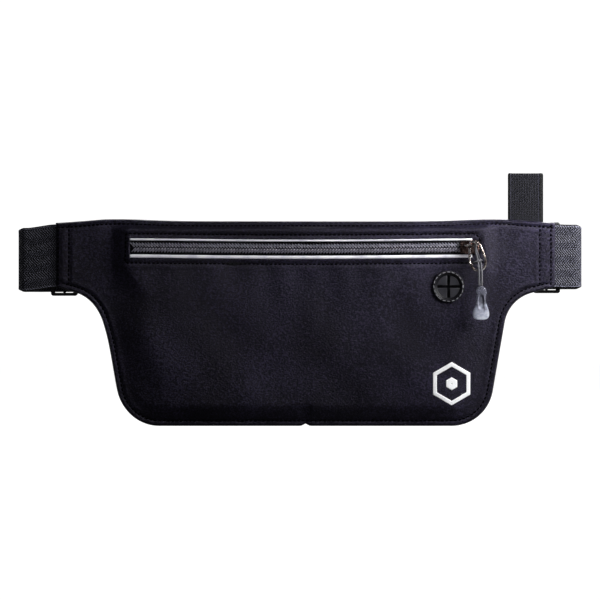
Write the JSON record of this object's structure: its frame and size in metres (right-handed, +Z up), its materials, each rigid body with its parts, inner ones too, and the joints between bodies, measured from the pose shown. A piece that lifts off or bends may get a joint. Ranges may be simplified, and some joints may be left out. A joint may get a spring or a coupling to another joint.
{
  "type": "money belt",
  "caption": "Flat zipped waist pouch with side wings, cable port and reflective piping on an adjustable elastic strap with a side-release buckle.",
  "frame": {"origin": "middle of the back panel's outer face, at the height of the strap's middle, where the belt rests on the wearer", "axes": "+X along the belt towards the zip's closed end, +Y towards the wearer, +Z up as worn"},
  "size_m": [0.3382, 0.0268, 0.1518],
  "materials": {
    "shell_fabric": "matte coated stretch fabric, near-black navy",
    "back_fabric": "fine black jersey",
    "reflective_tape": "silver reflective tape",
    "zip_tape": "woven black tape",
    "zip_coil": "satin black nylon",
    "port_rubber": "satin moulded black rubber",
    "white_print": "white heat-transfer print",
    "strap_elastic": "ribbed black elastic webbing",
    "loop_elastic": "ribbed narrow black elastic",
    "slider_metal": "glossy black nickel",
    "ring_metal": "polished gunmetal wire",
    "braided_cord": "light grey braid",
    "clear_rubber": "translucent clear grey moulded rubber",
    "buckle_plastic": "fine-textured black moulded plastic"
  },
  "bodies": {
    "pouch": {"front_panel": "shell_fabric", "back_panel": "back_fabric", "reflective_piping_upper": "reflective_tape", "reflective_piping_lower": "reflective_tape", "zipper_tape_upper": "zip_tape", "zipper_tape_lower": "zip_tape", "zipper_coil_upper": "zip_coil", "zipper_coil_lower": "zip_coil", "cable_port": "port_rubber", "cable_port_backing": "port_rubber", "printed_emblem": "white_print", "left_strap_front": "strap_elastic", "right_strap_front": "strap_elastic", "left_strap_fold": "strap_elastic", "right_strap_fold": "strap_elastic", "hang_loop_base": "loop_elastic"},
    "slider": {"slider_body": "slider_metal", "slider_crown": "slider_metal"},
    "ring": {"pull_ring": "ring_metal"},
    "cord": {"pull_cord": "braided_cord"},
    "tab": {"pull_tab": "clear_rubber"},
    "left_strap": {"left_strap_back": "strap_elastic"},
    "right_strap": {"right_strap_back": "strap_elastic"},
    "left_adjuster": {"left_adjuster": "buckle_plastic", "left_strap_end": "strap_elastic"},
    "right_adjuster": {"right_adjuster": "buckle_plastic", "right_strap_end": "strap_elastic"},
    "left_webbing": {"left_strap_loop": "strap_elastic", "left_strap_tail": "strap_elastic"},
    "right_webbing": {"right_strap_loop": "strap_elastic", "right_strap_tail": "strap_elastic"},
    "socket": {"buckle_socket": "buckle_plastic"},
    "plug": {"buckle_plug": "buckle_plastic"},
    "prong_upper": {"buckle_prong_upper": "buckle_plastic"},
    "prong_lower": {"buckle_prong_lower": "buckle_plastic"},
    "loop": {"hang_loop": "loop_elastic"}
  },
  "joints": [
    {"name": "zip_slide", "type": "slide", "parent": "pouch", "child": "slider", "axis": [1, 0, 0], "range_m": [-0.19, 0], "deforming": ["zipper_coil_upper", "zipper_coil_lower"]},
    {"name": "ring_swing", "type": "hinge", "parent": "slider", "child": "ring", "pos_m": [0.0994, -0.0122, 0.0062], "axis": [1, 0, 0], "range_deg": [-90, 0]},
    {"name": "cord_swing", "type": "hinge", "parent": "ring", "child": "cord", "pos_m": [0.1016, -0.0122, 0.0062], "axis": [1, 0, 0], "range_deg": [-60, 0]},
    {"name": "tab_sway", "type": "hinge", "parent": "cord", "child": "tab", "pos_m": [0.105, -0.0138, -0.0215], "axis": [0, 1, 0], "range_deg": [-25, 25]},
    {"name": "left_strap_swing", "type": "hinge", "parent": "pouch", "child": "left_strap", "pos_m": [-0.168, 0.002, 0], "axis": [0, 0, 1], "range_deg": [0, 180], "deforming": ["left_strap_fold"]},
    {"name": "right_strap_swing", "type": "hinge", "parent": "pouch", "child": "right_strap", "pos_m": [0.1614, 0.002, 0], "axis": [0, 0, -1], "range_deg": [0, 180], "deforming": ["right_strap_fold"]},
    {"name": "left_adjuster_slide", "type": "slide", "parent": "left_strap", "child": "left_adjuster", "axis": [1, 0, 0], "range_m": [0, 0.05], "deforming": ["left_strap_tail", "left_strap_back"]},
    {"name": "right_adjuster_slide", "type": "slide", "parent": "right_strap", "child": "right_adjuster", "axis": [-1, 0, 0], "range_m": [0, 0.05], "deforming": ["right_strap_tail", "right_strap_back"]},
    {"name": "left_webbing_slide", "type": "slide", "parent": "left_strap", "child": "left_webbing", "axis": [1, 0, 0], "range_m": [0, 0.025]},
    {"name": "right_webbing_slide", "type": "slide", "parent": "right_strap", "child": "right_webbing", "axis": [-1, 0, 0], "range_m": [0, 0.025]},
    {"name": "socket_pivot", "type": "hinge", "parent": "left_webbing", "child": "socket", "pos_m": [-0.072, 0.00655, 0], "axis": [0, 0, 1], "range_deg": [0, 60]},
    {"name": "plug_pivot", "type": "hinge", "parent": "right_webbing", "child": "plug", "pos_m": [0.072, 0.00655, 0], "axis": [0, 0, -1], "range_deg": [0, 60]},
    {"name": "prong_upper_flex", "type": "hinge", "parent": "plug", "child": "prong_upper", "pos_m": [0.0545, 0.00655, 0.0142], "axis": [0, -1, 0], "range_deg": [0, 8], "stiffness_Nm_per_rad": 0.05},
    {"name": "prong_lower_flex", "type": "hinge", "parent": "plug", "child": "prong_lower", "pos_m": [0.0545, 0.00655, -0.0162], "axis": [0, -1, 0], "range_deg": [-8, 0], "stiffness_Nm_per_rad": 0.05},
    {"name": "hang_loop_fold", "type": "hinge", "parent": "pouch", "child": "loop", "pos_m": [0.1317, 0.0015, 0.0228], "axis": [1, 0, 0], "range_deg": [-90, 90], "stiffness_Nm_per_rad": 0.003}
  ],
  "couplings": [
    {"joint": "left_webbing_slide", "follows": "left_adjuster_slide", "ratio": 0.5},
    {"joint": "right_webbing_slide", "follows": "right_adjuster_slide", "ratio": 0.5},
    {"joint": "prong_lower_flex", "follows": "prong_upper_flex", "ratio": -1}
  ]
}
